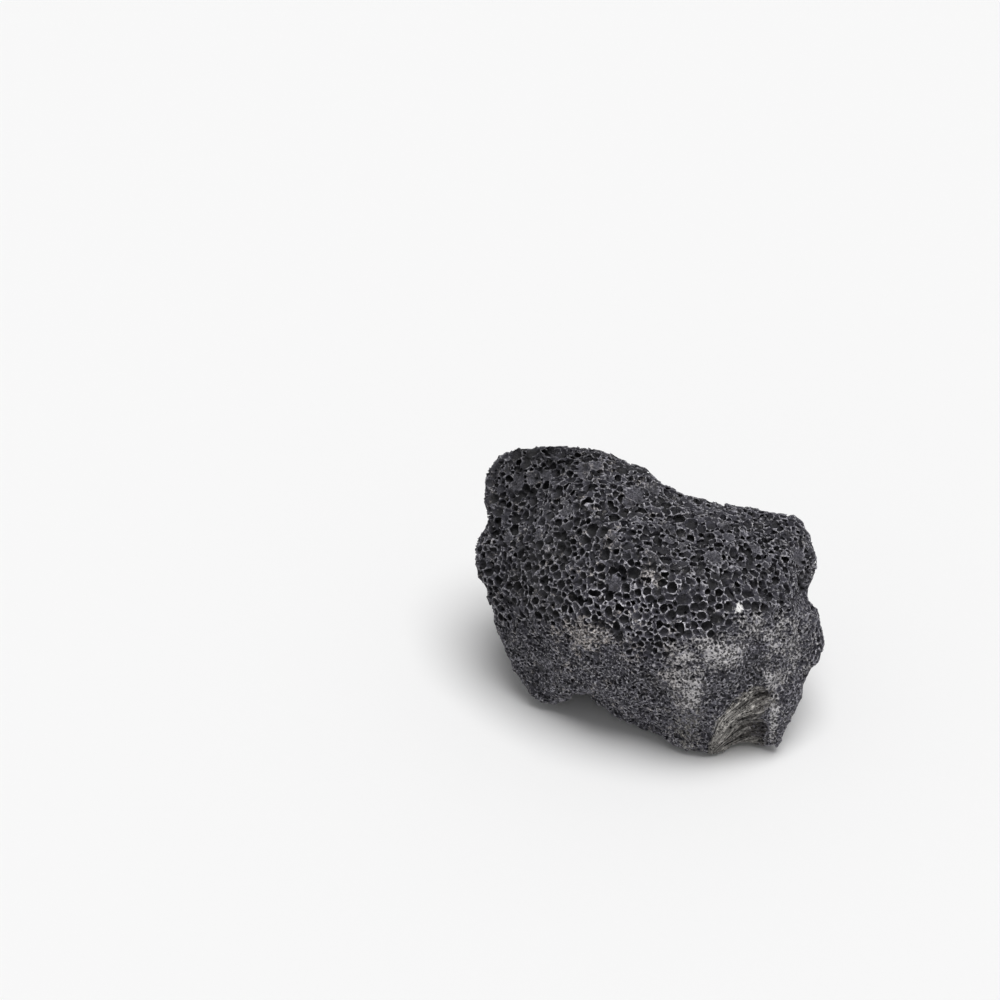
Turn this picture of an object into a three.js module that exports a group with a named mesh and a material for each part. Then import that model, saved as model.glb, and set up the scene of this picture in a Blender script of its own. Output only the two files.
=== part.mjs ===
// A lava rock: one broken block of dark, bubbly basalt, about 150 mm long.
//
// The block stands on its base on the XY plane, with +Z up. Its broad face looks towards -Y and up,
// and its height, depth and length run along Z, Y and X. It is modelled in three steps:
//   1. the corners of the broken block are joined into flat facets, which give its true proportions;
//   2. an even sphere of directions is cast onto those facets, which gives a closed skin;
//   3. layers of noise roughen the skin, and the lowest spots are worn flat where the block stands.
// Lengths are in millimetres.
import * as THREE from "three";
import { ConvexHull } from "three/addons/math/ConvexHull.js";
import { ImprovedNoise } from "three/addons/math/ImprovedNoise.js";
import { mergeVertices } from "three/addons/utils/BufferGeometryUtils.js";

// The broad face leans back from upright by this angle.
const FACE_LEAN = THREE.MathUtils.degToRad(40);
// The middle of the broad face's rim is this high above the ground.
const RIM_HEIGHT = 62;
// Every point of the surface is in sight from here, deep inside the block.
const HEART = new THREE.Vector3(0, 14, 50);

// How finely each side of the sphere of directions is divided.
const SKIN_DETAIL = 16;
// The edges between facets are rounded over this angle, as seen from the heart.
const EDGE_ROUNDING = THREE.MathUtils.degToRad(2.5);
const ROUNDING_SAMPLES = 6;

// The roughness of a broken lava face, from broad swellings down to single clots: how far apart they
// are, and how far they stand out.
const RELIEF = [
  { spacing: 31, depth: 1.4 },
  { spacing: 14, depth: 1.6 },
  { spacing: 7, depth: 0.9 },
];

// Corners of the rim round the broad face, clockwise from the top left. They are given square to the
// face: [across, up the face, out of the face].
const RIM = [
  [-71, 62, -16], // top left shoulder
  [-57, 66, -20],
  [-22, 65, -20],
  [-4, 56, -16],
  [10, 48, -14],
  [37, 44, -13],
  [65, 42, -12], // top right shoulder
  [70, 25, -8],
  [68, 13, -6],
  [65, 7, -6], // nick in the right side
  [73, -5, -6],
  [77, -16, -8], // right nose
  [69, -28, -10],
  [62, -46, -14],
  [64, -67, -18], // spur
  [42, -60, -22], // gap between the spur and the toe
  [25, -67, -19], // toe
  [4, -58, -24],
  [-14, -51, -30],
  [-27, -43, -32], // step up to the left flank
  [-42, -49, -33],
  [-52, -42, -29],
  [-60, -30, -26],
  [-66, -15, -20],
  [-69, -5, -16],
  [-78, 9, -13], // left elbow
  [-75, 24, -12],
  [-71, 29, -14], // nick in the left side
  [-78, 43, -14],
];

// Corners inside that rim, given in the same way.
const BROAD_FACE = [
  // the top, which looks up and a little back
  [-50, 49, -9],
  [-27, 54, -2],
  [4, 40, 9],
  [34, 31, 11],
  [54, 26, 5],
  // the brow, where the top breaks over into the front: it runs down from the top left
  [-33, 41, 12],
  [-11, 23, 30],
  [11, 9, 38],
  [36, -1, 35],
  [57, 1, 20],
  // the left front
  [-60, 23, 0],
  [-46, 9, 14],
  [-24, 4, 27],
  [-53, -8, 6],
  // the front
  [-28, -14, 21],
  [3, -15, 33],
  [31, -21, 28],
  [58, -19, 11],
  [-44, -29, -8],
  [-20, -36, 2],
  [6, -44, 6],
  [22, -46, 10],
  // the hollow between the toe and the spur, with a rib on each side
  [42, -34, 13],
  [32, -52, 1],
  [43, -49, -14],
  [48, -57, -20],
  [56, -47, -5],
];

// Corners of the far side and the base, given as the block stands: [x, y, z].
const BACK_AND_BASE = [
  // back, upper edge
  [-69, 58, 84],
  [-36, 68, 86],
  [-6, 62, 76],
  [24, 56, 70],
  [56, 44, 72],
  // back, waist
  [-70, 56, 50],
  [-40, 74, 54],
  [-8, 68, 42],
  [22, 72, 48],
  [50, 58, 40],
  [66, 34, 46],
  // back, foot
  [-64, 48, 16],
  [-28, 70, 16],
  [14, 66, 10],
  [52, 50, 12],
  [70, 20, 20],
  // base: worn spots round a shallow arch
  [-54, 20, -1],
  [-48, 46, -3],
  [-8, 14, -2],
  [-2, 36, 5],
  [8, 58, -2],
  [24, 2, 4],
  [44, 40, -3],
  [52, -6, -2],
  [58, -20, 1],
  [64, 14, 8],
];

// A corner given square to the leaning broad face, moved to where it is as the block stands.
function standUp([across, up, out]) {
  const sin = Math.sin(FACE_LEAN);
  const cos = Math.cos(FACE_LEAN);
  return new THREE.Vector3(across, up * sin - out * cos, up * cos + out * sin + RIM_HEIGHT);
}

function blockCorners() {
  return [
    ...[...RIM, ...BROAD_FACE].map(standUp),
    ...BACK_AND_BASE.map((corner) => new THREE.Vector3(...corner)),
  ];
}

// The flat facets of the block. Three corners share a facet when they are neighbours as seen from the
// heart, which is when they share a face of the convex hull of their directions. A facet is kept as
// the inverse of the matrix of its three corners, taken from the heart.
function facetsBetween(corners) {
  const sights = corners.map((corner) => corner.clone().sub(HEART));
  const directions = sights.map((sight) => sight.clone().normalize());
  const sightAlong = new Map(directions.map((direction, i) => [direction, sights[i]]));
  return new ConvexHull().setFromPoints(directions).faces.map((face) => {
    const edges = [face.edge, face.edge.next, face.edge.next.next];
    const [a, b, c] = edges.map((edge) => sightAlong.get(edge.head().point));
    return new THREE.Matrix3(a.x, b.x, c.x, a.y, b.y, c.y, a.z, b.z, c.z).invert();
  });
}

// The distance from the heart to the facets in one direction. The direction is a mixture of a facet's
// three corners: it meets the facet when no share is negative, and the shares' sum is 1 / distance.
function reach(facets, direction) {
  const shares = new THREE.Vector3();
  let best = { least: -Infinity, distance: 0 };
  for (const facet of facets) {
    shares.copy(direction).applyMatrix3(facet);
    const least = Math.min(shares.x, shares.y, shares.z);
    if (least > best.least) best = { least, distance: 1 / (shares.x + shares.y + shares.z) };
  }
  return best.distance;
}

// The reach averaged with a ring of nearby directions, which rounds the edges between facets.
function roundedReach(facets, direction) {
  const shifted = new THREE.Vector3(direction.y, direction.z, direction.x);
  const across = shifted.cross(direction).normalize();
  const nearby = direction.clone().applyAxisAngle(across, EDGE_ROUNDING);
  let sum = reach(facets, direction);
  for (let i = 0; i < ROUNDING_SAMPLES; i++) {
    const turn = (2 * Math.PI * i) / ROUNDING_SAMPLES;
    sum += reach(facets, nearby.clone().applyAxisAngle(direction, turn));
  }
  return sum / (ROUNDING_SAMPLES + 1);
}

const noise = new ImprovedNoise();

// How far the relief lifts the skin at a point.
function relief({ x, y, z }) {
  return RELIEF.reduce(
    (sum, { spacing, depth }) => sum + depth * noise.noise(x / spacing, y / spacing, z / spacing),
    0,
  );
}

// A closed sphere of directions, evenly spread, with one vertex for each.
function evenDirections() {
  const sphere = new THREE.IcosahedronGeometry(1, SKIN_DETAIL);
  sphere.deleteAttribute("normal");
  sphere.deleteAttribute("uv");
  return mergeVertices(sphere);
}

// Moves the origin to the middle of the block's footprint, on the ground.
function centreOnFootprint(geometry) {
  geometry.computeBoundingBox();
  const middle = geometry.boundingBox.getCenter(new THREE.Vector3());
  geometry.translate(-middle.x, -middle.y, 0);
}

function rockGeometry() {
  const facets = facetsBetween(blockCorners());
  const skin = evenDirections();
  const position = skin.getAttribute("position");
  const direction = new THREE.Vector3();
  for (let i = 0; i < position.count; i++) {
    direction.fromBufferAttribute(position, i).normalize();
    const point = HEART.clone().addScaledVector(direction, roundedReach(facets, direction));
    point.addScaledVector(direction, relief(point));
    position.setXYZ(i, point.x, point.y, Math.max(point.z, 0));
  }
  centreOnFootprint(skin);
  skin.computeVertexNormals();
  return skin;
}

// Dark grey basalt, dull all over.
const basalt = new THREE.MeshStandardMaterial({
  color: 0x4a4a4f,
  roughness: 0.95,
  metalness: 0,
  flatShading: true,
});

const rock = new THREE.Mesh(rockGeometry(), basalt);
rock.name = "lava_rock";

const part = new THREE.Group();
part.add(rock);

export default part;
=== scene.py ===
# %% [markdown]
# # A lava rock
#
# This lesson builds one loose block of lava: basalt that froze while it was full of gas. The block
# is about 150 mm long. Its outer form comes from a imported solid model; the lesson adds what makes
# lava look like lava, which is thousands of bubbles cut open where the block broke. Lengths are
# in metres, with +Z up, and the block stands on the ground at the origin.

# %% Load the stone's solid model
import math

import bpy
import numpy as np
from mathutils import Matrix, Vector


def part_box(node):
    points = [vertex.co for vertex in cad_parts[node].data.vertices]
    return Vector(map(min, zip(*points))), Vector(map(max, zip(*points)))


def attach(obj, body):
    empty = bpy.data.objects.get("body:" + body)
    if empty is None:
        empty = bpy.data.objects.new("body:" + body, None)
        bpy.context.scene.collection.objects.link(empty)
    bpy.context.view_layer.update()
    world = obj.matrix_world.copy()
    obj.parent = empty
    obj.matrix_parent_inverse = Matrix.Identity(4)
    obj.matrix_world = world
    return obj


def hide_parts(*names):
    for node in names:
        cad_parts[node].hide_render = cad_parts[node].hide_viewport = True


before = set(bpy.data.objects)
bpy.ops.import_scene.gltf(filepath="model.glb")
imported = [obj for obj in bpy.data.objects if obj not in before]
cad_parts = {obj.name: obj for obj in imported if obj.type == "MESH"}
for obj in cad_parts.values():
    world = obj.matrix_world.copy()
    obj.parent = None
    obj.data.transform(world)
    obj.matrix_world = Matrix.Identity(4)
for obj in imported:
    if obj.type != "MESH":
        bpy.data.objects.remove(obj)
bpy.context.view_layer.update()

import openvdb as vdb
from mathutils import Vector

MM = 0.001
stone_low, stone_high = (np.array(corner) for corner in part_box("lava_rock"))
stone_middle = (stone_low + stone_high) / 2
print("stone, mm:", ((stone_high - stone_low) / MM).round(1))

# %% [markdown]
# ## The camera
#
# A camera is an object with a lens, and it looks along its own -Z axis. This one looks down on the
# stone's broad face, which leans back by 40 degrees, so its line of sight is square to that face.
# A long lens from about a metre keeps the stone's outline true, as a product view should. The
# stone stands right of the middle and a little low, so the camera aims up and to the left of it.

# %% Camera
FACE_LEAN = math.radians(40)
ACROSS = Vector((1, 0, 0))
UP_THE_FACE = Vector((0, math.sin(FACE_LEAN), math.cos(FACE_LEAN)))
OUT_OF_FACE = Vector((0, -math.cos(FACE_LEAN), math.sin(FACE_LEAN)))
CAMERA_DISTANCE = 1.02
LENS = 85
AIM_LEFT = 0.0662
AIM_UP = 0.0372

scene = bpy.context.scene
camera_data = bpy.data.cameras.new("camera")
camera_data.lens = LENS
camera = bpy.data.objects.new("camera", camera_data)
scene.collection.objects.link(camera)
scene.camera = camera

aim = Vector(stone_middle) - AIM_LEFT * ACROSS + AIM_UP * UP_THE_FACE
camera.location = Vector(stone_middle) + CAMERA_DISTANCE * OUT_OF_FACE
camera.rotation_euler = (aim - camera.location).to_track_quat("-Z", "Y").to_euler()
print("camera at, m:", tuple(round(value, 3) for value in camera.location))

# %% [markdown]
# ## The stone as a distance field
#
# A foam of bubbles is hard to cut with mesh tools: each of the thousands of cuts would be a
# boolean. A signed distance field makes it easy. It is a block of small cells, and each cell holds
# its distance to the surface: negative inside the stone, positive outside. Cutting a bubble is
# then one maximum, and the surface is wherever the field passes through zero.

# %% Skin: the distance field of the solid
CELL = 0.35 * MM
FIELD_MARGIN = 3 * MM
FIELD_DEPTH = 4 * MM


def mesh_arrays(mesh):
    points = np.empty(len(mesh.vertices) * 3, np.float32)
    mesh.vertices.foreach_get("co", points)
    mesh.calc_loop_triangles()
    corners = np.empty(len(mesh.loop_triangles) * 3, np.int32)
    mesh.loop_triangles.foreach_get("vertices", corners)
    return points.reshape(-1, 3), corners.reshape(-1, 3)


def distance_field(points, triangles):
    """The signed distance to a closed mesh, and the whole-cell position of the field's first cell."""
    level_set = vdb.FloatGrid.createLevelSetFromPolygons(
        points,
        triangles=triangles.astype(np.uint32),
        transform=vdb.createLinearTransform(voxelSize=CELL),
        exBandWidth=FIELD_MARGIN / CELL,
        inBandWidth=FIELD_DEPTH / CELL,
    )
    first = np.floor((points.min(axis=0) - FIELD_MARGIN) / CELL).astype(int)
    last = np.ceil((points.max(axis=0) + FIELD_MARGIN) / CELL).astype(int)
    field = np.empty(last - first + 1, np.float32)
    level_set.copyToArray(field, ijk=tuple(int(i) for i in first))
    return field, first


solid_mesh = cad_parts["lava_rock"].data
skin, first_cell = distance_field(*mesh_arrays(solid_mesh))
cell_places = [
    (first + np.arange(cells, dtype=np.float32)) * np.float32(CELL)
    for first, cells in zip(first_cell, skin.shape)
]
print("distance field cells:", skin.shape)

# %% [markdown]
# ## Reading a field
#
# A field is a plain array of numbers, so it can be read at any point. `sample` blends the eight
# cells round a point, which is smoother than taking the nearest one. The slope of the skin field
# points straight away from the stone, and `outward` uses that to find which way is out.

# %% Sample and slope


def sample(field, points):
    place = points / CELL - first_cell
    last = np.array(field.shape) - 2
    low = np.clip(np.floor(place).astype(int), 0, last)
    blend = np.clip(place - low, 0, 1)
    value = 0
    for corner in np.ndindex(2, 2, 2):
        share = np.prod(np.where(corner, blend, 1 - blend), axis=1)
        value = value + share * field[tuple((low + corner).T)]
    return value


def outward(points):
    """Unit vectors out of the stone, along the slope of the skin field."""
    steps = np.eye(3) * 2 * CELL
    slope = np.stack([sample(skin, points + s) - sample(skin, points - s) for s in steps], axis=1)
    return slope / np.linalg.norm(slope, axis=1, keepdims=True)


print("depth at the stone's middle, mm:", (-sample(skin, stone_middle[None]) / MM).round(1))

# %% [markdown]
# ## Places on the broad face
#
# Bubbles, dust and dents are laid out on the broad face, where they can be measured as on a map:
# so far across it, up it and out of it, in millimetres from the stone's middle. `on_face` gives
# those three for any points. `surface_at` goes the other way: it follows a line of sight through
# a point of the map until it meets the stone. `SIGHT_STEPS` are the places that it tries, as shares
# of the way to the map. `smoothstep` fades a value in between two limits, and `on_front` uses it to
# tell the face from the sides that turn away from it.

# %% Map of the face
SIGHT_STEPS = np.linspace(0.9, 1.1, 1000)
FACE_ENDS = -30
FACE_WHOLE = -10


def on_face(points):
    axes = np.array([ACROSS, UP_THE_FACE, OUT_OF_FACE])
    across, up, out = ((points - stone_middle) @ axes.T).T
    nearer = CAMERA_DISTANCE / (CAMERA_DISTANCE - out)
    return across * nearer / MM, up * nearer / MM, out / MM


def surface_at(across, up):
    eye = np.array(camera.location)
    target = stone_middle + across * MM * np.array(ACROSS) + up * MM * np.array(UP_THE_FACE)
    line = eye + SIGHT_STEPS[:, None] * (target - eye)
    return line[np.argmax(sample(skin, line) < 0)]


def smoothstep(low, high, value):
    t = np.clip((value - low) / (high - low), 0, 1)
    return t * t * (3 - 2 * t)


def on_front(out):
    """From 0 on the far sides to 1 on the broad face."""
    return smoothstep(FACE_ENDS, FACE_WHOLE, out)


print("middle of the face, mm:", (surface_at(0, 0) / MM).round(1))

# %% [markdown]
# ## Lumps
#
# Lava breaks along a rough, lumpy surface, never along a plane. The lumps are value noise: random
# numbers on a coarse lattice, blended smoothly in between. A displacement modifier could do this
# to a mesh, but here it is one sum over the field: the skin sinks where the noise is positive and
# swells where it is negative. The random numbers have a fixed seed, so the stone comes out the
# same each time.

# %% Lumps
random = np.random.default_rng(11)
LUMP_SPACING = 11 * MM
LUMP_HEIGHT = 0.55 * MM


def swellings(shape, spacing):
    """Smooth noise between -1 and 1 over a field of cells."""
    lattice = [math.ceil(cells * CELL / spacing) + 2 for cells in shape]
    noise = random.uniform(-1, 1, lattice).astype(np.float32)
    for axis, cells in enumerate(shape):
        place = np.arange(cells, dtype=np.float32) * (CELL / spacing)
        before = place.astype(int)
        blend = place - before
        blend = (blend * blend * (3 - 2 * blend)).reshape([-1 if a == axis else 1 for a in range(3)])
        low = np.take(noise, before, axis=axis)
        noise = low + (np.take(noise, before + 1, axis=axis) - low) * blend
    return noise


lumps = swellings(skin.shape, LUMP_SPACING)
skin += LUMP_HEIGHT * lumps
print("highest lump, mm:", round(-LUMP_HEIGHT * float(lumps.min()) / MM, 2))

# %% [markdown]
# ## Working on a few cells
#
# The field has tens of millions of cells, and a bubble or a dent touches very few of them. So
# each cut is made in a small window of cells round its place. `random_places` picks cells out of
# a mask, which is how things are scattered over the stone.

# %% Windows of cells


def cells_near(place, reach):
    """The block of cells within reach of a place: its slices, and its cells' x, y and z."""
    window = []
    for places, at in zip(cell_places, place):
        start, stop = np.searchsorted(places, (at - reach, at + reach))
        window.append(slice(start, stop))
    x, y, z = (places[part] for places, part in zip(cell_places, window))
    return tuple(window), (x[:, None, None], y[:, None], z)


def distance_to(centre, axes, stretch=(1, 1, 1)):
    squares = [((axis - at) / much) ** 2 for axis, at, much in zip(axes, centre, stretch)]
    return np.sqrt(squares[0] + squares[1] + squares[2])


def random_places(mask, count):
    """The places of randomly chosen cells of a mask."""
    spots = random.permutation(np.flatnonzero(mask))[:count]
    return (np.transpose(np.unravel_index(spots, skin.shape)) + first_cell) * CELL


near_surface = np.abs(skin) < CELL / 2
print("cells along the skin:", np.count_nonzero(near_surface))

# %% [markdown]
# ## Chips
#
# A chip is a very shallow bite out of the skin by a large ball. Where two chips meet they leave a
# crooked ridge, as on any broken stone. They could be sculpted by hand, but not hundreds of times.

# %% Chips
CHIPS = 520
CHIP_RADIUS = (6 * MM, 18 * MM)
CHIP_DEPTH = (0.5 * MM, 1.7 * MM)
BITE_ROOM = 1.5 * MM


def bite(place, out, radius, depth):
    """A shallow bite out of the skin by a ball that sinks in by depth."""
    window, axes = cells_near(place, math.sqrt(2 * radius * depth) + BITE_ROOM)
    inside_ball = radius - distance_to(place + out * (radius - depth), axes)
    np.maximum(skin[window], inside_ball, out=skin[window])


chip_places = random_places(near_surface, CHIPS)
for place, out in zip(chip_places, outward(chip_places)):
    bite(place, out, random.uniform(*CHIP_RADIUS), random.uniform(*CHIP_DEPTH))
print("chips:", len(chip_places))

# %% [markdown]
# ## Recesses in the hollow
#
# Near the toe at the lower right the melt tore while it was still soft, and left a hollow with
# dark recesses. They are deeper bites. Each row says where one is, across and up the face, then
# how wide its dark part is, and the radius and depth of the ball that bites it, all in mm. The
# dark part, which the material paints with a stain and painted shade, ends at `RECESS_END` widths
# from the middle, and fades out over `RECESS_FADE` widths.

# %% Recesses
RECESSES = (
    (51, -42, 5.0, 6, 2.2),
    (50, -54.5, 4.4, 7, 2.4),
)
RECESS_END = 1.3
RECESS_FADE = 0.7


def recess_strength(across, up):
    """From 1 in a recess to 0 outside the recesses."""
    inside = [RECESS_END - np.hypot(across - a, up - u) / width for a, u, width, *_ in RECESSES]
    return smoothstep(0, RECESS_FADE, np.max(inside, axis=0))


for across, up, width, radius, depth in RECESSES:
    place = surface_at(across, up)
    bite(place, outward(place[None])[0], radius * MM, depth * MM)
print("recesses:", len(RECESSES))

# %% [markdown]
# ## A fan of strings
#
# In the same hollow the soft melt was drawn out into strings, which spread from the toe like the
# ribs of a fan. A fan is a wave whose height depends only on the direction from the toe, so it
# needs one formula and no modelling. This cell lays out the fan. It reaches farthest along the
# hollow's left side, and a faint part of it crosses the flank. Its soft borders are given as
# directions, in radians, between which it comes and goes.

# %% Fan
TOE = (29, -71)
FAN_REACH = 27
LEFT_SIDE_REACH = 14
HOLLOW_COMES = (0.4, 0.65)
HOLLOW_GOES = (1.6, 1.75)
FLANK_COMES = (1.95, 2.2)
FLANK_GOES = (2.7, 2.95)
FLANK_SHARE = 0.4
SWEEP = 0.016
WAVER = 0.02


def fan_place(across, up):
    """A point's place in the fan: its direction from the toe, in radians, and its distance in mm."""
    turn = np.arctan2(up - TOE[1], across - TOE[0])
    far = np.hypot(up - TOE[1], across - TOE[0])
    return turn + SWEEP * far + WAVER * np.sin(far / 2.3 + 2 * turn), far


def fan_strength(across, up):
    """From 1 in the middle of the fan of strings to 0 outside it."""
    bend, far = fan_place(across, up)
    hollow = smoothstep(*HOLLOW_COMES, bend) * (1 - smoothstep(*HOLLOW_GOES, bend))
    flank = FLANK_SHARE * smoothstep(*FLANK_COMES, bend) * (1 - smoothstep(*FLANK_GOES, bend))
    reach = FAN_REACH + LEFT_SIDE_REACH * smoothstep(1.1, 1.5, bend) * (bend < 1.8)
    return (hollow + flank) * (1 - smoothstep(reach - 7, reach + 4, far))


print("strength 20 mm right of the toe and above it:", fan_strength(TOE[0] + 20, TOE[1] + 20).round(2))

# %% [markdown]
# ## Cut the strings
#
# The strings are what is left between grooves. The size of a sine wave, without its sign, is a row
# of round humps with sharp creases between them, so grooves of that form leave sharp ridges. A
# second wave keeps the strings from being evenly spaced. The sum is made in one window of cells.

# %% Strings
FAN_MIDDLE = (40, -55)
FAN_WINDOW = 36 * MM
STRINGS_PER_RADIAN = 13
STRING_HEIGHT = 0.45 * MM

window, axes = cells_near(surface_at(*FAN_MIDDLE), FAN_WINDOW)
cells = np.stack(np.broadcast_arrays(*axes), axis=-1).reshape(-1, 3)
across, up, out = on_face(cells)
bend, far = fan_place(across, up)
grooves = np.abs(np.sin(math.pi * STRINGS_PER_RADIAN * bend)) - 0.5
grooves = grooves + 0.6 * np.sin(2.9 * STRINGS_PER_RADIAN * bend + 0.4 * np.sin(far / 3))
sinking = STRING_HEIGHT * fan_strength(across, up) * grooves
skin[window] += sinking.reshape(skin[window].shape).astype(np.float32)
print("highest string, mm:", round(-float(sinking.min()) / MM, 2))

# %% [markdown]
# ## Fine relief
#
# The skin is rough down to grains smaller than a bubble. Three more layers of the same noise do it.
# They matter for the honeycomb too: on a rough skin, the rims of the bubbles don't lie in one
# smooth sheet. Last, everything below the ground is cut off, so the worn spots that the stone
# stands on are flat.

# %% Grains
GRAINS = ((4.6 * MM, 0.5 * MM), (2.3 * MM, 0.42 * MM), (1.2 * MM, 0.22 * MM))

for spacing, height in GRAINS:
    skin += height * swellings(skin.shape, spacing)
np.maximum(skin, -cell_places[2], out=skin)
print("cells on the skin:", np.count_nonzero(np.abs(skin) < CELL / 2))

# %% [markdown]
# ## Coarse above, fine below
#
# Gas rose in the melt, so the upper part of this stone is a coarse honeycomb and the lower part
# is fine. The limit between them slants across the face, and is given by points on it: across
# and up, in mm. Two waves let it wander, and it lies farther up where the stone turns away from
# the face. `COARSE_BORDER` says how far below and above the limit the two kinds still mix, in mm.

# %% Coarse zone
COARSE_LIMIT = (
    (-80, -6), (-68, -11), (-52, -15), (-35, -13), (-13, -19), (8, -22),
    (19, -18), (29, -14), (39, -6), (50, -6), (61, -12), (80, -22),
)
COARSE_BORDER = (-10, 8)
TURNS_AWAY = -5
RISE_BEHIND = 0.35


def coarseness(points):
    """From 0 where the bubbles are fine to 1 where they are coarse."""
    across, up, out = on_face(points)
    limit = np.interp(across, *zip(*COARSE_LIMIT)) - RISE_BEHIND * np.minimum(out - TURNS_AWAY, 0)
    wander = 3 * np.sin(across / 5.3 + 1) + 2 * np.sin(across / 2.3 + up / 3.1)
    return smoothstep(*COARSE_BORDER, up - limit + wander)


print("coarseness at the middle of the face:", coarseness(stone_middle[None]).round(2))

# %% [markdown]
# ## Dusty patches
#
# In a few patches pale dust and crust have filled the holes. A patch could be painted by hand, but
# an ellipse on the face is enough, since the material frays its border later. Each row gives its
# middle, across and up, then its half width and half height in mm, and how thick the dust is. It
# thins out to nothing at `DUST_END` times that size.

# %% Dust
DUST = (
    (-28, -19, 9.5, 6.5, 1),
    (14, -25, 8, 7.5, 0.95),
    (31, -23, 9.5, 6, 1),
    (20, -40, 7.5, 7, 0.95),
    (12, -34, 5, 5, 0.7),
    (25, -32, 6, 4, 0.6),
    (-8, -24, 6, 4, 0.45),
    (56, -35, 5, 4, 1),
    (56, -50, 1.6, 9, 0.9),
    (45, -10, 6, 5, 0.85),
    (2, 9, 5, 5, 0.5),
    (-19, 20, 3.5, 3, 0.7),
    (60, -20, 12, 13, 0.55),
)
DUST_END = 1.6


def dust_cover(points):
    """From 0 on bare stone to 1 in the middle of a dusty patch."""
    across, up, out = on_face(points)
    cover = np.zeros(len(points))
    for patch_across, patch_up, width, height, strength in DUST:
        off = np.hypot((across - patch_across) / width, (up - patch_up) / height)
        cover = np.maximum(cover, strength * np.clip(DUST_END - off, 0, 1))
    return cover * on_front(out)


print("dusty patches:", len(DUST))

# %% [markdown]
# ## The largest bubble at each place
#
# Several things limit a bubble's size. In the fine zone it stays under a millimetre in radius, and
# the right end is in between. Lumps of the relief are denser stone. Dust and the torn hollow leave
# less room, and a grain of another mineral, `MINERAL`, has no bubbles at all.

# %% Largest bubble
MINERAL = (39, -4)
MINERAL_BORDER = (1, 4)
RIGHT_END = (38, 62)
FINE_RADIUS = 0.9
MORE_WHERE_COARSE = 2.0
LESS_AT_RIGHT_END = 1.15


def largest_bubble(points):
    """The largest radius that a bubble may have, in metres."""
    across, up, out = on_face(points)
    right_end = smoothstep(*RIGHT_END, across + 0.3 * up)
    coarse = coarseness(points)
    room = (1 + 0.3 * sample(lumps, points)) * (1 - 0.35 * dust_cover(points))
    radius = FINE_RADIUS + coarse * (MORE_WHERE_COARSE - LESS_AT_RIGHT_END * right_end)
    torn = fan_strength(across, up)
    off_mineral = smoothstep(*MINERAL_BORDER, np.hypot(across - MINERAL[0], up - MINERAL[1]))
    return MM * room * radius * (1 - 0.4 * torn) * off_mineral


print("largest radius at the middle, mm:", (largest_bubble(stone_middle[None]) / MM).round(2))

# %% [markdown]
# ## Pack the bubbles
#
# Bubbles in a melt crowd together without passing through each other. So they are placed one at
# a time at random, large ones first, wherever there is still room. Two more fields make that quick.
# `nearest` holds each cell's distance to the nearest bubble, and `second` the distance to the
# next one. Only bubbles that the skin cuts open are placed, since nobody sees the others.

# %% Two fields for the bubbles
FAR_AWAY = 1.0
nearest = np.full(skin.shape, FAR_AWAY, np.float32)
second = np.full(skin.shape, FAR_AWAY, np.float32)


def add_bubble(centre, radius, stretch, reach):
    window, axes = cells_near(centre, reach)
    distance = distance_to(centre, axes, stretch) - np.float32(radius)
    np.minimum(second[window], np.maximum(nearest[window], distance), out=second[window])
    np.minimum(nearest[window], distance, out=nearest[window])


print("cells in each of the two fields:", nearest.size)

# %% [markdown]
# ## Leave thin edges whole
#
# On a sharp edge a bubble could break right through to the other side, and leave a thread of
# stone that no real block would keep. `depth_behind` looks a short way in from a point. Where the
# stone is thin, the point further in is still close to the skin, and only small bubbles fit there.

# %% Depth behind a place


def depth_behind(points, way_in):
    """How deep below the skin a point lies that is further in than each of these, in mm."""
    return -sample(skin, points - way_in * outward(points)) / MM


face_middle = surface_at(0, 0)[None]
print("depth 3 mm behind the middle of the face:", depth_behind(face_middle, 3 * MM).round(1))

# %% [markdown]
# ## Bubbles that stand out
#
# A few bubbles are much larger than the rest. Some were cut near the middle and are deep dark
# pits. Of others only the far wall is left, which is a shallow dish. The ones on the broad face
# have their own places: a dish's row gives across, up, radius and depth, and a pit's gives
# across, up and radius, all in mm. None is a true ball, so each is stretched a little at random.

# %% Dishes and pits on the face
DISHES = (
    (-26, 54, 7, 1.2), (-31, 51, 5, 1.1), (-6, 42, 8, 1.4), (-1, 46, 6, 1.2), (-10, 39, 5, 1.1),
    (-49, 23, 5, 1), (-62, 21, 5, 1), (33, 27, 6, 1), (28, 17, 6, 1), (13, 21, 6, 0.9),
    (8, 24, 5, 0.9), (-15, 2, 5, 1), (21, 36, 6, 1.1), (63, 19, 5, 1), (-17, 23, 5, 1),
    (-48, 50, 7, 1.1), (-53, 47, 5, 1), (-60, 44, 6, 1.1), (-38, 34, 6, 1), (46, 22, 6, 1),
)
PITS = (
    (-59, 25, 3), (-20, 17, 2.9), (-10, 2, 2.5), (-53, 9, 2.2), (6, 44, 3), (1, 39, 2.7),
    (59, 6, 2.7), (-21, 38, 2.3), (14, -31, 1.8), (3, 2, 2.1), (-58, -6, 2.1), (-10, 47, 2.6),
    (7, -6, 2.4), (54, 9, 2.2), (-34, -20, 1.7),
)
DISH_STRETCH = (0.9, 1.15)
PIT_STRETCH = (0.85, 1.2)
PIT_SINK = 0.45
ROOM_ROUND = 2.5 * MM


def add_dish(place, out, radius, depth):
    stretch = random.uniform(*DISH_STRETCH, 3)
    reach = DISH_STRETCH[1] * radius + ROOM_ROUND
    add_bubble(place + out * (radius * np.linalg.norm(stretch * out) - depth), radius, stretch, reach)


def add_pit(place, out, radius):
    stretch = random.uniform(*PIT_STRETCH, 3)
    add_bubble(place - out * PIT_SINK * radius, radius, stretch, PIT_STRETCH[1] * radius + ROOM_ROUND)


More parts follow.
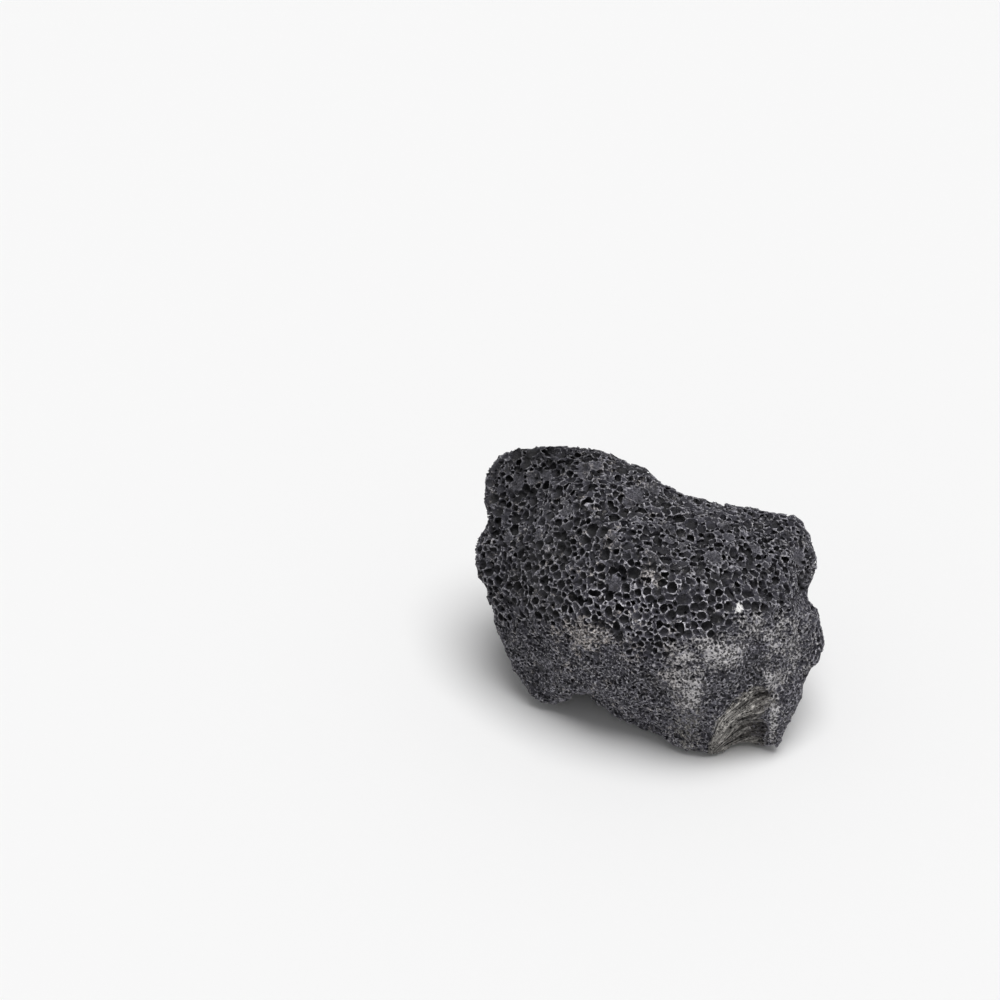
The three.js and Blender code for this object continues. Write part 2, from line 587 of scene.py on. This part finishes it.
for across, up, radius, depth in DISHES:
    place = surface_at(across, up)
    add_dish(place, outward(place[None])[0], radius * MM, depth * MM)
for across, up, radius in PITS:
    place = surface_at(across, up)
    add_pit(place, outward(place[None])[0], radius * MM)
print("dishes on the face:", len(DISHES), "pits:", len(PITS))

# %% [markdown]
# ## The same on the other sides
#
# The back, the top and the ends have dishes and pits as well. Nobody needs them at exact places,
# so they are scattered at random over the coarse zone behind the face, with radii and depths in
# between two limits, in mm. A copy of `nearest` is kept here, because it still knows only the
# large bubbles, and the finish will need to tell them.

# %% Scattered dishes and pits
SCATTERED_DISHES = 26
SCATTERED_PITS = 40
PLACES_TRIED = 4000
COARSE_ENOUGH = 0.6
DISH_RADII = (4, 7)
DISH_DEPTHS = (1, 1.4)
PIT_RADII = (1.7, 2.6)

places = random_places(np.abs(skin) < CELL / 2, PLACES_TRIED)
across, up, out = on_face(places)
places = places[(coarseness(places) > COARSE_ENOUGH) & (out < 0)]
ways_out = outward(places)
for i in range(SCATTERED_DISHES):
    radius = random.uniform(*DISH_RADII) * MM
    add_dish(places[i], ways_out[i], radius, random.uniform(*DISH_DEPTHS) * MM)
for i in range(SCATTERED_DISHES, SCATTERED_DISHES + SCATTERED_PITS):
    add_pit(places[i], ways_out[i], random.uniform(*PIT_RADII) * MM)
large_bubbles = nearest.copy()
print("scattered:", SCATTERED_DISHES, "dishes and", SCATTERED_PITS, "pits")

# %% [markdown]
# ## The honeycomb and the pores
#
# Each row below is one size of bubble: its radius and how far it may press into its neighbours,
# both in mm, and how many places are tried. The large ones press hard, which makes the honeycomb.
# The small ones keep away from each other, and become single pores in the dense stone. A bubble's
# middle lies between `HIGHEST` and `DEEPEST`, in radii above the skin, so that the skin cuts it.

# %% Honeycomb and pores
BUBBLE_SIZES = (
    (3.0, 1.1, 200), (2.6, 1.1, 1500), (2.2, 1.05, 5000), (1.8, 0.95, 12000), (1.5, 0.85, 24000),
    (1.25, 0.75, 40000), (1.0, 0.55, 60000), (0.85, 0.4, 70000), (0.7, 0.1, 60000),
)
HIGHEST = 0.3
DEEPEST = -0.75
LIMIT_SPREAD = (0.55, 1.2)
RADIUS_SPREAD = (0.88, 1.08)
BUBBLE_STRETCH = (0.8, 1.25)
LEAST_ROOM = 0.5 * MM
WAY_IN = 3 * MM
THIN_STONE = (1.2, 2.2)


def pack_bubbles(radius, press, tries):
    apart = radius - press
    room = (skin < HIGHEST * radius) & (skin > DEEPEST * radius) & (nearest > apart)
    places = random_places(room, tries)
    allowed = largest_bubble(places) * random.uniform(*LIMIT_SPREAD, len(places))
    allowed *= smoothstep(*THIN_STONE, depth_behind(places, WAY_IN))
    placed = 0
    for place in places[allowed > radius]:
        cell = tuple(np.rint(place / CELL).astype(int) - first_cell)
        if nearest[cell] < apart:
            continue
        own_radius = radius * random.uniform(*RADIUS_SPREAD)
        centre = place + random.uniform(-0.5, 0.5, 3) * CELL
        stretch = random.uniform(*BUBBLE_STRETCH, 3)
        reach = BUBBLE_STRETCH[1] * (own_radius + max(apart, LEAST_ROOM)) + CELL
        add_bubble(centre, own_radius, stretch, reach)
        placed += 1
    return placed


for radius, press, tries in BUBBLE_SIZES:
    print("bubbles of", radius, "mm:", pack_bubbles(radius * MM, press * MM, tries))

# %% [markdown]
# ## Walls between bubbles
#
# Where two bubbles press together a thin wall stays between them, which turns round bubbles into
# a honeycomb. A wall stands where the nearest bubble and the second nearest are about equally
# far. Two layers of noise, each with a spacing and a height, thicken the walls here and break
# them through there.

# %% Walls
WALL = 0.3 * MM
WALL_NOISE = ((3.1 * MM, 0.26 * MM), (1.2 * MM, 0.18 * MM))

bubbles = np.maximum(nearest, WALL - (second - nearest))
for spacing, height in WALL_NOISE:
    bubbles += height * swellings(skin.shape, spacing)
print("share of the field inside bubbles:", round(float((bubbles < 0).mean()), 3))

# %% [markdown]
# ## Holes in the floors
#
# At the bottom of many bubbles a small hole leads on into the dark, where one bubble opened into
# the next. The holes are small balls, placed at random just behind the floors of the honeycomb.
# The broad floors of dishes and pits get far fewer, and there are none where the stone is thin.
# After them the stone is done: it is what lies inside the skin and outside every bubble.

# %% Floor holes
FLOOR_HOLES = 3200
BEHIND_FLOOR = 0.5 * MM
SHALLOWEST_HOLE = 0.9 * MM
DEEPEST_HOLE = 2.6 * MM
SHARE_IN_DISHES = 0.2
HOLE_WAY_IN = 2.5 * MM
THINNEST_STONE = 3.2
HOLE_RADII = (0.45, 0.95)
HOLE_STRETCH = (0.75, 1.3)

floors = (bubbles > 0) & (bubbles < BEHIND_FLOOR)
floors &= (skin < -SHALLOWEST_HOLE) & (skin > -DEEPEST_HOLE)
floors &= (large_bubbles > MM) | (random.random(skin.shape, np.float32) < SHARE_IN_DISHES)
hole_places = random_places(floors, FLOOR_HOLES * 2)
hole_places = hole_places[depth_behind(hole_places, HOLE_WAY_IN) > THINNEST_STONE]
hole_places = hole_places[coarseness(hole_places) > random.uniform(0.3, 0.9, len(hole_places))]
for place in hole_places[:FLOOR_HOLES]:
    radius = random.uniform(*HOLE_RADII) * MM
    window, axes = cells_near(place, radius + MM)
    stretch = random.uniform(*HOLE_STRETCH, 3)
    np.minimum(bubbles[window], distance_to(place, axes, stretch) - radius, out=bubbles[window])
stone = np.maximum(skin, -bubbles)
print("holes in bubble floors:", len(hole_places[:FLOOR_HOLES]))

# %% [markdown]
# ## Take the surface
#
# OpenVDB walks through the field and lays a mesh where it passes through zero. The field is first
# cut off at two cells, so that it counts as background everywhere else.

# %% Surface
CUT_OFF = 2 * CELL


def surface_of(field):
    """The points and triangles of the surface where a field passes through zero."""
    grid = vdb.FloatGrid(CUT_OFF)
    grid.transform = vdb.createLinearTransform(voxelSize=CELL)
    grid.copyFromArray(np.clip(field, -CUT_OFF, CUT_OFF), ijk=tuple(int(i) for i in first_cell))
    points, triangles, quads = grid.convertToPolygons(isovalue=0.0, adaptivity=0.0)
    halves = np.concatenate([triangles, quads[:, [0, 1, 2]], quads[:, [0, 2, 3]]])
    return points, halves[:, ::-1].astype(np.int64)


points, triangles = surface_of(stone)
print("carved surface:", len(triangles), "triangles")

# %% [markdown]
# ## A lighter mesh
#
# The carved surface has more triangles than a reusable model should. Blender's Decimate modifier
# merges the flattest ones first, so the rims keep their shape. A remesh with larger cells would
# be lighter as well, but it would wash out the thin walls.

# %% Mesh within a budget
TRIANGLE_BUDGET = 198_000


def mesh_from(name, points, triangles):
    mesh = bpy.data.meshes.new(name)
    mesh.vertices.add(len(points))
    mesh.vertices.foreach_set("co", points.astype(np.float32).ravel())
    mesh.loops.add(triangles.size)
    mesh.loops.foreach_set("vertex_index", triangles.astype(np.int32).ravel())
    mesh.polygons.add(len(triangles))
    mesh.polygons.foreach_set("loop_start", np.arange(0, triangles.size, 3, dtype=np.int32))
    mesh.update(calc_edges=True)
    return mesh


def thinned(mesh, budget):
    """The mesh with its flattest triangles merged until the budget is met."""
    draft = bpy.data.objects.new("draft", mesh)
    scene.collection.objects.link(draft)
    draft.modifiers.new("thin", "DECIMATE").ratio = budget / len(mesh.polygons)
    depsgraph = bpy.context.evaluated_depsgraph_get()
    thin = bpy.data.meshes.new_from_object(draft.evaluated_get(depsgraph))
    bpy.data.objects.remove(draft)
    return thin


thin_mesh = thinned(mesh_from("carved", points, triangles), TRIANGLE_BUDGET)
print("thinned to", len(thin_mesh.polygons), "triangles")

# %% [markdown]
# ## One whole stone
#
# Cutting leaves a few loose crumbs and closed cavities, which are no part of a stone in one piece.
# They are found by giving every vertex a number and letting the lowest number spread along the
# triangles: vertices that end with the same number are one island. The largest island is kept.

# %% Largest island
SHARP_ANGLE = math.radians(50)


def largest_island(points, triangles):
    """The largest connected part of a mesh: the stone without loose crumbs and closed cavities."""
    corners = triangles.ravel()
    order = np.argsort(corners, kind="stable")
    starts = np.searchsorted(corners[order], np.arange(len(points)))
    island = np.arange(len(points))
    while True:
        lowest = np.repeat(island[triangles].min(axis=1), 3)
        spread = np.minimum.reduceat(lowest[order], starts)
        spread = spread[spread]
        if np.array_equal(spread, island):
            break
        island = spread
    kept = island == np.bincount(island).argmax()
    place = np.cumsum(kept) - 1
    return points[kept], place[triangles[kept[triangles[:, 0]]]]


rock_mesh = mesh_from("lava_stone", *largest_island(*mesh_arrays(thin_mesh)))
rock = bpy.data.objects.new("lava_stone", rock_mesh)
scene.collection.objects.link(rock)
rock_mesh.shade_smooth()
rock_mesh.set_sharp_from_angle(angle=SHARP_ANGLE)
print("stone:", len(rock_mesh.polygons), "triangles")

# %% [markdown]
# ## Measure the surface for its material
#
# The material has to know where it is: on a worn rim, on a bubble's wall or deep in a pit. Three
# measures are stored at each vertex. `depth` is how far it lies below the skin, in mm. `open` is
# the share of empty space in a small box round it, which is high on rims and low in pits. `plate`
# marks the floors of the large bubbles.

# %% Depth and openness
OPEN_CELLS = 3
PLATE_BORDER = (0.3, 0.8)

vertices, _ = mesh_arrays(rock_mesh)


def store(name, values):
    attribute = rock_mesh.attributes.new(name, "FLOAT", "POINT")
    attribute.data.foreach_set("value", np.asarray(values, np.float32))


def box_blur(field, cells):
    """The mean over a box of cells, one axis at a time, from running sums."""
    for axis in range(3):
        total = np.cumsum(field, axis=axis, dtype=np.float32)
        here = np.arange(field.shape[axis])
        ahead = np.minimum(here + cells // 2, here[-1])
        behind = np.maximum(here - cells // 2 - 1, 0)
        field = (np.take(total, ahead, axis=axis) - np.take(total, behind, axis=axis)) / cells
    return field


depth = -sample(skin, vertices) / MM
openness = sample(box_blur((stone > 0).astype(np.float32), OPEN_CELLS), vertices)
store("depth", depth)
store("open", openness)
store("plate", 1 - smoothstep(*PLATE_BORDER, sample(large_bubbles, vertices) / MM))
print("depth below the skin, mm:", np.percentile(depth, (1, 25, 50, 75, 99)).round(2))
print("openness:", np.percentile(openness, (1, 25, 50, 75, 99)).round(2))

# %% [markdown]
# ## Masks for the parts of the stone
#
# The material also has to know where it is on the stone. `coarse`, `dust`, `fan` and `recess` are
# the zones from above. `shade` is painted shade on the slope at the top left, and half as strong
# over the left end. `brow` is the middle of the face, where rims and stone are lifted by a painted
# highlight. `warm` says how brown the dust is, and `grain` is the mineral grain. `pale_strings` is
# where the strings are palest: near the toe and along the left side of the hollow. Each is a number
# from 0 to 1 at every vertex. In the fan, `along_strings` is a place measured across and along the
# strings. It changes quickly across them and slowly along them, so a noise at such places is drawn
# out along them.

# %% Masks
STRING_SPREAD = 18
STRING_DRAW = 0.08

across, up, out = on_face(vertices)
front = on_front(out)
beyond_slope = smoothstep(-7, 7, up - 23 - 0.79 * (across + 70))

store("coarse", coarseness(vertices))
store("dust", dust_cover(vertices))
store("fan", fan_strength(across, up) * (out > FACE_ENDS))
left = 0.5 * (1 - smoothstep(-60, -10, across))
# Painted shade: the slope at the top left, and half of it over the left end.
store("shade", np.maximum(beyond_slope * (1 - smoothstep(-28, -8, across)), left))
# Painted highlight on the middle of the face.
store("brow", np.exp(-(((across - 5) / 38) ** 2) - ((up + 4) / 16) ** 2) * front)
store("recess", recess_strength(across, up) * (out > FACE_ENDS))
store("warm", 1 - smoothstep(-15, 30, across))
store("grain", np.clip(2 - np.hypot(across - MINERAL[0], up - MINERAL[1]) / 1.3, 0, 1) * front)

bend, far = fan_place(across, up)
left_side = smoothstep(1.25, 1.55, bend) * (bend < 1.9)
store("pale_strings", np.maximum(left_side, 1 - smoothstep(8, 22, far)))
along_strings = rock_mesh.attributes.new("along_strings", "FLOAT_VECTOR", "POINT")
string_places = np.stack([bend * STRING_SPREAD, far * STRING_DRAW, 0 * far], axis=1) * MM
along_strings.data.foreach_set("vector", string_places.astype(np.float32).ravel())
print("vertices under dust:", np.count_nonzero(dust_cover(vertices) > 0.5))

# %% [markdown]
# ## Basalt
#
# Fresh basalt is nearly black, with a cold blue cast. What looks grey is its relief: rims are
# scuffed and pale, partly with painted highlights, bubble walls are smooth and dark with a faint
# sheen, and pits are darker still, with painted shade.
# All of it is made of nodes. A few helpers keep the tree readable: each adds one node and returns
# its output. `measured` reads a number from the vertices, and `noise` is a cloud of a given size.

# %% Material and its inputs
basalt = bpy.data.materials.new("basalt")
basalt.use_nodes = True
nodes = basalt.node_tree.nodes
links = basalt.node_tree.links
shader = nodes["Principled BSDF"]
stone_place = nodes.new("ShaderNodeTexCoord").outputs["Object"]


def plug(value, socket):
    """Links an output to a socket, or sets the socket to a plain value."""
    if isinstance(value, bpy.types.NodeSocket):
        links.new(value, socket)
    else:
        socket.default_value = value


def measured(name):
    node = nodes.new("ShaderNodeAttribute")
    node.attribute_name = name
    return node.outputs["Fac"]


def noise(size_mm, detail=3.0, roughness=0.6):
    node = nodes.new("ShaderNodeTexNoise")
    node.inputs["Scale"].default_value = 1000 / size_mm
    node.inputs["Detail"].default_value = detail
    node.inputs["Roughness"].default_value = roughness
    links.new(stone_place, node.inputs["Vector"])
    return node.outputs["Fac"]


print("helpers for inputs ready; nodes so far:", len(nodes))

# %% [markdown]
# ## Sums on numbers
#
# A mask is a number from 0 to 1. `between` makes one out of any value, with soft limits, and
# `times` multiplies masks, so that all of them must hold at once. `frayed` adds a noise to a mask,
# which breaks up its border once the sum is turned into a mask again.

# %% Helpers for numbers


def between(value, low, high, out_low=0.0, out_high=1.0):
    """Goes smoothly from out_low to out_high as a value goes from low to high."""
    node = nodes.new("ShaderNodeMapRange")
    node.interpolation_type = "SMOOTHSTEP"
    plug(value, node.inputs["Value"])
    node.inputs["From Min"].default_value = low
    node.inputs["From Max"].default_value = high
    node.inputs["To Min"].default_value = out_low
    node.inputs["To Max"].default_value = out_high
    return node.outputs["Result"]


def combine(operation, a, b):
    node = nodes.new("ShaderNodeMath")
    node.operation = operation
    plug(a, node.inputs[0])
    plug(b, node.inputs[1])
    return node.outputs["Value"]


def times(*values):
    product = values[0]
    for value in values[1:]:
        product = combine("MULTIPLY", product, value)
    return product


def frayed(mask, cloud, low, high, least, most):
    """A mask plus a noise, which adds least where it is below low and most where it is above high."""
    return combine("ADD", mask, between(cloud, low, high, least, most))


print("helpers for numbers ready; nodes so far:", len(nodes))

# %% [markdown]
# ## Colours and pores
#
# `mix` lays one colour over another by a mask. `pores` draws holes that are too small for the
# mesh, as dots of painted shade in the colour and as dents in the bump. A Voronoi texture gives the
# distance to the nearest of many random points, so a limit on that distance makes balls, and the
# surface cuts each ball somewhere, large or small.

# %% Helpers for colours and pores


def opaque(colour):
    """A colour's output as it is, or three plain numbers with the fourth that a socket wants."""
    return colour if isinstance(colour, bpy.types.NodeSocket) else (*colour, 1)


def mix(share, colour_a, colour_b, blend="MIX"):
    node = nodes.new("ShaderNodeMix")
    node.data_type = "RGBA"
    node.blend_type = blend
    plug(share, node.inputs[0])
    plug(opaque(colour_a), node.inputs[6])
    plug(opaque(colour_b), node.inputs[7])
    return node.outputs[2]


def pores(spacing_mm, radius, share):
    """Ball-shaped pores that the surface cuts at random: 1 in a pore, 0 between them."""
    node = nodes.new("ShaderNodeTexVoronoi")
    node.inputs["Scale"].default_value = 1000 / spacing_mm
    links.new(stone_place, node.inputs["Vector"])
    chance = nodes.new("ShaderNodeSeparateColor")
    links.new(node.outputs["Color"], chance.inputs["Color"])
    there = combine("LESS_THAN", chance.outputs["Red"], share)
    return times(between(node.outputs["Distance"], 0.75 * radius, radius, 1, 0), there)


print("helpers for colours ready; nodes so far:", len(nodes))

# %% [markdown]
# ## Walls and broken stone
#
# The colour starts with two kinds of surface. `wall` is the smooth inside of a bubble, dark with a
# fine speckle. `matrix` is broken stone, paler and full of small pores, painted dark as painted
# shade. Broken stone shows where the surface is open and hardly below the skin, and partly on the
# floors of the large dishes.

# %% Walls and broken stone
WALL_DARK = (0.020, 0.0195, 0.028)
WALL_PALE = (0.046, 0.044, 0.061)
WALL_DULL = (0.040, 0.040, 0.038)
WALL_SPECK = (0.088, 0.085, 0.106)
BROKEN_DARK = (0.040, 0.039, 0.051)
BROKEN_PALE = (0.125, 0.122, 0.148)
BROKEN_SPECK = (0.350, 0.340, 0.380)
PORE_SHADE = (0.008, 0.008, 0.011)

depth_mm = measured("depth")
openness_here = measured("open")
coarse_here = measured("coarse")
shade_here = measured("shade")

speckle = between(noise(0.55, 3, 0.75), 0.42, 0.60)
wall = mix(between(noise(9, 2), 0.35, 0.65), WALL_DARK, WALL_PALE)
wall = mix(between(noise(26, 2), 0.5, 0.65, 0, 0.5), wall, WALL_DULL)
wall = mix(times(speckle, 0.65), wall, WALL_SPECK)

pore = combine("MAXIMUM", pores(1.15, 0.5, 0.85), pores(2.1, 0.42, 0.6))
matrix = mix(between(noise(1.3, 4, 0.7), 0.38, 0.62), BROKEN_DARK, BROKEN_PALE)
matrix = mix(times(speckle, between(noise(2.2, 3), 0.4, 0.6, 0.2, 1)), matrix, BROKEN_SPECK)
# Painted shade in the pores too small for the mesh.
matrix = mix(times(pore, 0.94), matrix, PORE_SHADE)
on_skin = times(between(depth_mm, 0.1, 0.4, 1, 0), between(openness_here, 0.40, 0.52))
rough_here = combine("MAXIMUM", on_skin, times(measured("plate"), 0.4))
colour = mix(rough_here, wall, matrix)
print("nodes for walls and broken stone:", len(nodes))

# %% [markdown]
# ## Rims, painted highlights and glints
#
# The edge of a hole gets scuffed and catches the light, so it is the palest part of the stone:
# partly wear and partly a painted highlight. An edge is where the surface is very open. The rims
# are bright in some places and hardly there in others, weaker in the painted shade of the slope and
# stronger on the brow, where the highlight is painted brighter. Small pale flecks between them carry
# painted glints.

# %% Rims and painted glints
RIM_PALE = (0.74, 0.725, 0.78)
GLINT_FLECK_PALE = (0.56, 0.555, 0.57)

rim_light = between(noise(3.4, 3), 0.42, 0.60, 0.1, 1)
# Rims: partly wear, partly a painted highlight, dimmer under painted shade, brighter on the brow.
rim = times(between(openness_here, 0.62, 0.78), between(depth_mm, 0.15, 1.0, 1, 0.15), rim_light)
rim = times(rim, between(shade_here, 0, 1, 1, 0.4), between(speckle, 0, 1, 0.35, 1))
rim = times(rim, between(coarse_here, 0, 1, 0.8, 1), between(measured("brow"), 0, 1, 0.8, 1.45))
colour = mix(rim, colour, RIM_PALE)
# Painted glints on small pale flecks.
glint_fleck = times(between(noise(1.1, 2), 0.58, 0.68), between(openness_here, 0.5, 0.62))
colour = mix(times(glint_fleck, between(depth_mm, 0.2, 0.8, 1, 0), 0.7), colour, GLINT_FLECK_PALE)
print("nodes with rims:", len(nodes))

# %% [markdown]
# ## Dust
#
# Dust is a grey beige, and lies only where the surface is open. Its patches get ragged borders
# from two noises: a fine one frays the border, and a wide one bends the whole patch out of its
# ellipse. Pale glints are painted into it, and pores show through the dust as dark dots of painted
# shade.

# %% Dust colour
DUST_GREY = (0.400, 0.388, 0.400)
DUST_BROWN = (0.420, 0.372, 0.345)
DUST_GLINT = (0.70, 0.68, 0.68)
DUST_PORE_SHADE = (0.030, 0.028, 0.029)

ragged_dust = frayed(measured("dust"), noise(2.6, 5, 0.75), 0.32, 0.68, -0.6, 0.4)
ragged_dust = frayed(ragged_dust, noise(8, 2), 0.35, 0.65, -0.35, 0.35)
dusty = times(between(ragged_dust, 0.25, 0.7), between(openness_here, 0.32, 0.47))
dust_colour = mix(measured("warm"), DUST_GREY, DUST_BROWN)
# Painted glints in the dust.
dust_colour = mix(between(noise(0.7, 3), 0.42, 0.62), dust_colour, DUST_GLINT)
# Pores in the dust: dots of painted shade.
dust_colour = mix(times(pore, 0.88), dust_colour, DUST_PORE_SHADE)
colour = mix(times(dusty, between(noise(1.5, 3), 0.36, 0.52, 0.25, 0.92)), colour, dust_colour)
print("nodes with dust:", len(nodes))

# %% [markdown]
# ## Torn strings
#
# The torn hollow is brownish, with pale strings and dark gaps that run out from the toe. Both come
# from one noise that is drawn out along the strings. A string is where it passes through its
# middle, which is a thin line, and a gap is where it is low. Its pores are dots of painted shade.

# %% Strings of the hollow
TORN_DARK = (0.052, 0.048, 0.045)
TORN_SPECK = (0.300, 0.285, 0.268)
TORN_GAP = (0.022, 0.020, 0.019)
STRING_PALE = (0.900, 0.862, 0.812)
TORN_PORE_SHADE = (0.010, 0.009, 0.009)

string_node = nodes.new("ShaderNodeAttribute")
string_node.attribute_name = "along_strings"


def drawn_out(size_mm):
    """A noise that is stretched along the strings."""
    stretched = noise(size_mm, 2, 0.5)
    links.new(string_node.outputs["Vector"], stretched.node.inputs["Vector"])
    return stretched


def middle_lines(stretched):
    """Thin lines where a noise passes through its middle."""
    off_middle = combine("ABSOLUTE", combine("SUBTRACT", stretched, 0.5), 0)
    return between(off_middle, 0.008, 0.045, 1, 0)


broad_strings = drawn_out(1.5)
string = combine("MAXIMUM", middle_lines(broad_strings), times(middle_lines(drawn_out(0.9)), 0.75))
string = times(string, between(noise(1.4, 3), 0.4, 0.6, 0.35, 1))
string_light = between(measured("pale_strings"), 0, 1, 0.4, 1)
gap = times(between(broad_strings, 0.36, 0.45, 1, 0), between(noise(2.4, 3), 0.38, 0.55, 0.3, 1))
fan_here = measured("fan")
torn = frayed(fan_here, noise(2.4, 4, 0.7), 0.33, 0.67, -0.5, 0.3)
torn = between(torn, 0.1, 0.75)
torn_colour = mix(times(speckle, string_light), TORN_DARK, TORN_SPECK)
torn_colour = mix(times(gap, 0.9), torn_colour, TORN_GAP)
torn_colour = mix(times(string, string_light), torn_colour, STRING_PALE)
# Painted shade in the pores of the hollow.
torn_colour = mix(times(pores(1.6, 0.42, 0.6), 0.85), torn_colour, TORN_PORE_SHADE)
colour = mix(torn, colour, torn_colour)
print("nodes with strings:", len(nodes))

# %% [markdown]
# ## Recesses and the pale grain
#
# The recesses of the hollow are darker brown: partly a stain and partly painted shade, and the
# depth cell darkens them further with painted shade. The grain of another mineral is a few
# millimetres of nearly white crystal. Both are masks with a frayed border, as the dust is.

# %% Recesses and grain
RECESS_STAIN_AND_SHADE = (0.060, 0.046, 0.043)
CRYSTAL_WHITE = (0.88, 0.87, 0.86)

recess_here = between(frayed(measured("recess"), noise(2, 4), 0.3, 0.7, -0.6, 0.4), 0.1, 0.8)
# Brown stain and painted shade in the recesses.
colour = mix(times(recess_here, 0.35), colour, RECESS_STAIN_AND_SHADE)
grain_here = between(frayed(measured("grain"), noise(0.9, 3), 0.35, 0.65, -0.6, 0.2), 0.3, 0.5)
colour = mix(grain_here, colour, CRYSTAL_WHITE)
print("nodes with all patches:", len(nodes))

# %% [markdown]
# ## Painted shade with depth
#
# Deep in a pit little light reaches, so the whole colour is multiplied by a factor that falls
# with depth: painted shade. It is lower on the shaded slope and in the recesses as well, which is
# painted shade too, and a little higher on the brow, which is a painted highlight.

# %% Depth: painted shade and highlight
# Painted shade with depth, on the shaded slope and in the recesses; a painted highlight on the brow.
dim = times(between(depth_mm, 0.2, 2.6, 1, 0.2), between(shade_here, 0, 1, 1, 0.68))
dim = times(dim, between(recess_here, 0, 1, 1, 0.58), between(measured("brow"), 0, 1, 0.98, 1.2))
darkness = nodes.new("ShaderNodeCombineColor")
for channel in range(3):
    links.new(dim, darkness.inputs[channel])
colour = mix(1.0, colour, darkness.outputs["Color"], "MULTIPLY")
links.new(colour, shader.inputs["Base Color"])
print("nodes for colour:", len(nodes))

# %% [markdown]
# ## Sheen and grain
#
# Bubble walls froze against gas, so they are smoother than the broken rims, and dust is dullest
# of all: that is the roughness. The relief that is finer than the mesh can hold is a bump: the
# pores of the broken stone, the streaks of the hollow and a fine grain everywhere.

# %% Roughness and bump
dull = between(on_skin, 0, 1, 0.66, 0.9)
dull = combine("MAXIMUM", dull, between(dusty, 0, 1, 0.6, 0.96))
links.new(dull, shader.inputs["Roughness"])
shader.inputs["IOR"].default_value = 1.5

pore_height = times(between(pore, 0, 1, 1, 0), between(on_skin, 0, 1, 0.1, 1))
pore_height = times(pore_height, between(fan_here, 0, 1, 1, 0.2))
grain_height = times(noise(0.7, 3, 0.7), 1.3)
fine_height = combine("ADD", pore_height, grain_height)
string_height = combine("SUBTRACT", times(string, 1.2), times(gap, 1.2))
fine_height = combine("ADD", fine_height, times(string_height, fan_here))
bump = nodes.new("ShaderNodeBump")
bump.inputs["Distance"].default_value = 0.4 * MM
bump.inputs["Strength"].default_value = 0.9
links.new(fine_height, bump.inputs["Height"])
links.new(bump.outputs["Normal"], shader.inputs["Normal"])

rock_mesh.materials.clear()
rock_mesh.materials.append(basalt)
print("material nodes:", len(nodes))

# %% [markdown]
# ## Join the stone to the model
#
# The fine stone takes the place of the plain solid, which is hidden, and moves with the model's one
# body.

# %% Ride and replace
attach(rock, "root")
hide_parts("lava_rock")
print("rides the root, replaces lava_rock, has the basalt finish:", rock.name)

# %% [markdown]
# ## The floor
#
# A dark rough stone shows best on plain pale paper. The floor is one large square that lies level
# with the stone's worn spots, so the stone rests on it. It is wide enough to fill the background
# from every side.

# %% Floor
FLOOR_HALF = 20
PAPER = (0.9, 0.9, 0.9, 1)

floor_corners = np.array([(-1, -1, 0), (1, -1, 0), (1, 1, 0), (-1, 1, 0)]) * FLOOR_HALF
floor_mesh = mesh_from("floor", floor_corners, np.array([(0, 1, 2), (0, 2, 3)]))
floor = bpy.data.objects.new("floor", floor_mesh)
scene.collection.objects.link(floor)
paper = bpy.data.materials.new("paper")
paper.use_nodes = True
paper_shader = paper.node_tree.nodes["Principled BSDF"]
paper_shader.inputs["Base Color"].default_value = PAPER
paper_shader.inputs["Roughness"].default_value = 0.9
floor_mesh.materials.append(paper)
print("floor, m:", 2 * FLOOR_HALF, "by", 2 * FLOOR_HALF)

# %% [markdown]
# ## The light
#
# The light is broad and soft, and comes from nearly straight above. A sun lamp with a wide angle
# does that evenly over the whole floor, where an area lamp would leave its far side grey. The
# light comes down into the holes at a slant, so each has a lit side and a dark side.

# %% Light
LIGHT_FROM = Vector((0.12, -0.12, 1.05))
LIGHT_WIDTH = math.radians(38)
LIGHT_STRENGTH = 2.4

light_data = bpy.data.lights.new("soft_light", "SUN")
light_data.angle = LIGHT_WIDTH
light_data.energy = LIGHT_STRENGTH
light = bpy.data.objects.new("soft_light", light_data)
light.rotation_euler = LIGHT_FROM.to_track_quat("Z", "Y").to_euler()
scene.collection.objects.link(light)
scene.view_settings.view_transform = "Standard"
print("light from:", tuple(round(value, 2) for value in LIGHT_FROM.normalized()))

# %% [markdown]
# ## The studio round it
#
# A studio has pale walls and a darker ceiling, and both send a little light back and fill the
# shadows. Walls of their own would stand in the way of some views, so the world plays them: it is
# pale up to a low height, as seen from the stone, and fades to a dim grey above.

# %% Studio walls
WALL_TOP = 0.17
CEILING_START = 0.35
WALL_LIGHT = 0.93
CEILING_LIGHT = 0.25

world = bpy.data.worlds.new("studio")
scene.world = world
world.use_nodes = True
background = world.node_tree.nodes["Background"]
background.inputs["Color"].default_value = (1, 1, 1, 1)
direction = world.node_tree.nodes.new("ShaderNodeTexCoord")
height = world.node_tree.nodes.new("ShaderNodeSeparateXYZ")
fade = world.node_tree.nodes.new("ShaderNodeMapRange")
fade.inputs["From Min"].default_value = WALL_TOP
fade.inputs["From Max"].default_value = CEILING_START
fade.inputs["To Min"].default_value = WALL_LIGHT
fade.inputs["To Max"].default_value = CEILING_LIGHT
world.node_tree.links.new(direction.outputs["Generated"], height.inputs["Vector"])
world.node_tree.links.new(height.outputs["Z"], fade.inputs["Value"])
world.node_tree.links.new(fade.outputs["Result"], background.inputs["Strength"])
print("light of walls and ceiling:", WALL_LIGHT, CEILING_LIGHT)
